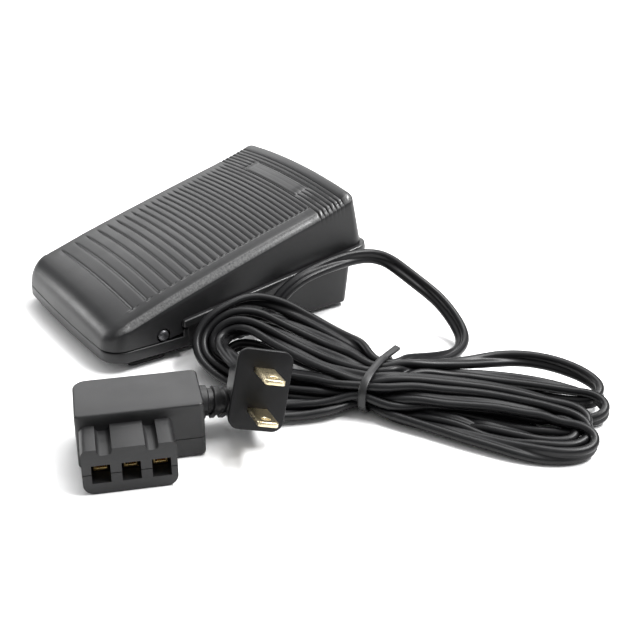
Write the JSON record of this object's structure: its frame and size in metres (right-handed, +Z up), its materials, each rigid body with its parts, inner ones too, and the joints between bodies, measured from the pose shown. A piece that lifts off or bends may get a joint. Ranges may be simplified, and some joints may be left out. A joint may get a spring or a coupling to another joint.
{
  "type": "sewing machine foot control",
  "caption": "Black rocking foot control for a sewing machine with a ribbed treadle, flat cords wound in a tied hank, a machine connector and a mains plug.",
  "frame": {"origin": "on the floor under the middle of the pedal's outline", "axes": "+Z up, +Y towards the high end of the treadle, +X the side the cord leaves from"},
  "size_m": [0.2092, 0.1619, 0.048],
  "materials": {
    "base_housing": "satin moulded plastic",
    "rubber_foot_front_right": "matt",
    "rubber_foot_front_left": "matt",
    "rubber_foot_rear_right": "matt",
    "rubber_foot_rear_left": "matt",
    "housing_lid": "satin moulded plastic",
    "lid_screw_1": "plated",
    "lid_screw_2": "plated",
    "lid_screw_3": "plated",
    "lid_screw_4": "plated",
    "pivot_pin_right": "plated",
    "pivot_pin_left": "plated",
    "return_spring_right": "plated",
    "return_spring_left": "plated",
    "plunger_spring": "plated",
    "resistor_plate": "fired",
    "control_board": "solder resist",
    "board_screw_1": "plated",
    "board_screw_2": "plated",
    "board_screw_3": "plated",
    "board_screw_4": "plated",
    "heat_sink": "plain",
    "triac": "moulded epoxy",
    "suppressor_capacitor": "dipped",
    "choke_coil": "enamelled winding",
    "terminal_block": "natural nylon",
    "cord_clamp": "natural nylon",
    "clamp_screw_1": "plated",
    "clamp_screw_2": "plated",
    "pedal_cord_boot": "matt",
    "pedal_cord": "soft plastic sheath",
    "connector_upper_shell": "fine texture",
    "connector_lower_shell": "fine texture",
    "connector_contact_1": "bright",
    "connector_contact_2": "bright",
    "connector_contact_3": "bright",
    "connector_screw_1": "plated",
    "connector_screw_2": "plated",
    "connector_boot": "soft plastic",
    "connector_cord_upper": "soft plastic sheath",
    "connector_cord_lower": "soft plastic sheath",
    "plug_body": "soft plastic",
    "plug_blade_upper": "bright",
    "plug_blade_lower": "bright",
    "plug_boot": "soft plastic",
    "plug_cord": "soft plastic sheath",
    "cord_hank": "soft plastic sheath",
    "cord_tie": "soft plastic",
    "treadle_cover": "satin moulded plastic",
    "actuator_plunger": "natural nylon",
    "wiper_contact": "bright"
  },
  "bodies": {
    "base": {"base_housing": "base_housing", "rubber_foot_front_right": "rubber_foot_front_right", "rubber_foot_front_left": "rubber_foot_front_left", "rubber_foot_rear_right": "rubber_foot_rear_right", "rubber_foot_rear_left": "rubber_foot_rear_left", "housing_lid": "housing_lid", "lid_screw_1": "lid_screw_1", "lid_screw_2": "lid_screw_2", "lid_screw_3": "lid_screw_3", "lid_screw_4": "lid_screw_4", "pivot_pin_right": "pivot_pin_right", "pivot_pin_left": "pivot_pin_left", "return_spring_right": "return_spring_right", "return_spring_left": "return_spring_left", "plunger_spring": "plunger_spring", "resistor_plate": "resistor_plate", "control_board": "control_board", "board_screw_1": "board_screw_1", "board_screw_2": "board_screw_2", "board_screw_3": "board_screw_3", "board_screw_4": "board_screw_4", "heat_sink": "heat_sink", "triac": "triac", "suppressor_capacitor": "suppressor_capacitor", "choke_coil": "choke_coil", "terminal_block": "terminal_block", "cord_clamp": "cord_clamp", "clamp_screw_1": "clamp_screw_1", "clamp_screw_2": "clamp_screw_2", "pedal_cord_boot": "pedal_cord_boot", "pedal_cord": "pedal_cord", "connector_upper_shell": "connector_upper_shell", "connector_lower_shell": "connector_lower_shell", "connector_contact_1": "connector_contact_1", "connector_contact_2": "connector_contact_2", "connector_contact_3": "connector_contact_3", "connector_screw_1": "connector_screw_1", "connector_screw_2": "connector_screw_2", "connector_boot": "connector_boot", "connector_cord_upper": "connector_cord_upper", "connector_cord_lower": "connector_cord_lower", "plug_body": "plug_body", "plug_blade_upper": "plug_blade_upper", "plug_blade_lower": "plug_blade_lower", "plug_boot": "plug_boot", "plug_cord": "plug_cord", "cord_hank": "cord_hank", "cord_tie": "cord_tie"},
    "treadle": {"treadle_cover": "treadle_cover"},
    "plunger": {"actuator_plunger": "actuator_plunger", "wiper_contact": "wiper_contact"}
  },
  "joints": [
    {"name": "treadle_tilt", "type": "hinge", "parent": "base", "child": "treadle", "pos_m": [0, -0.0331, 0.0105], "axis": [-1, 0, 0], "range_deg": [0, 8.3], "stiffness_Nm_per_rad": 3, "springref_deg": -5.73, "deforming": ["return_spring_right", "return_spring_left"]},
    {"name": "plunger_slide", "type": "slide", "parent": "base", "child": "plunger", "axis": [0, 0, -1], "range_m": [0, 0.0063], "stiffness_N_per_m": 60, "springref_m": -0.01, "deforming": ["plunger_spring"]}
  ],
  "couplings": [
    {"joint": "plunger_slide", "follows": "treadle_tilt", "m_per_rad": 0.0425}
  ]
}
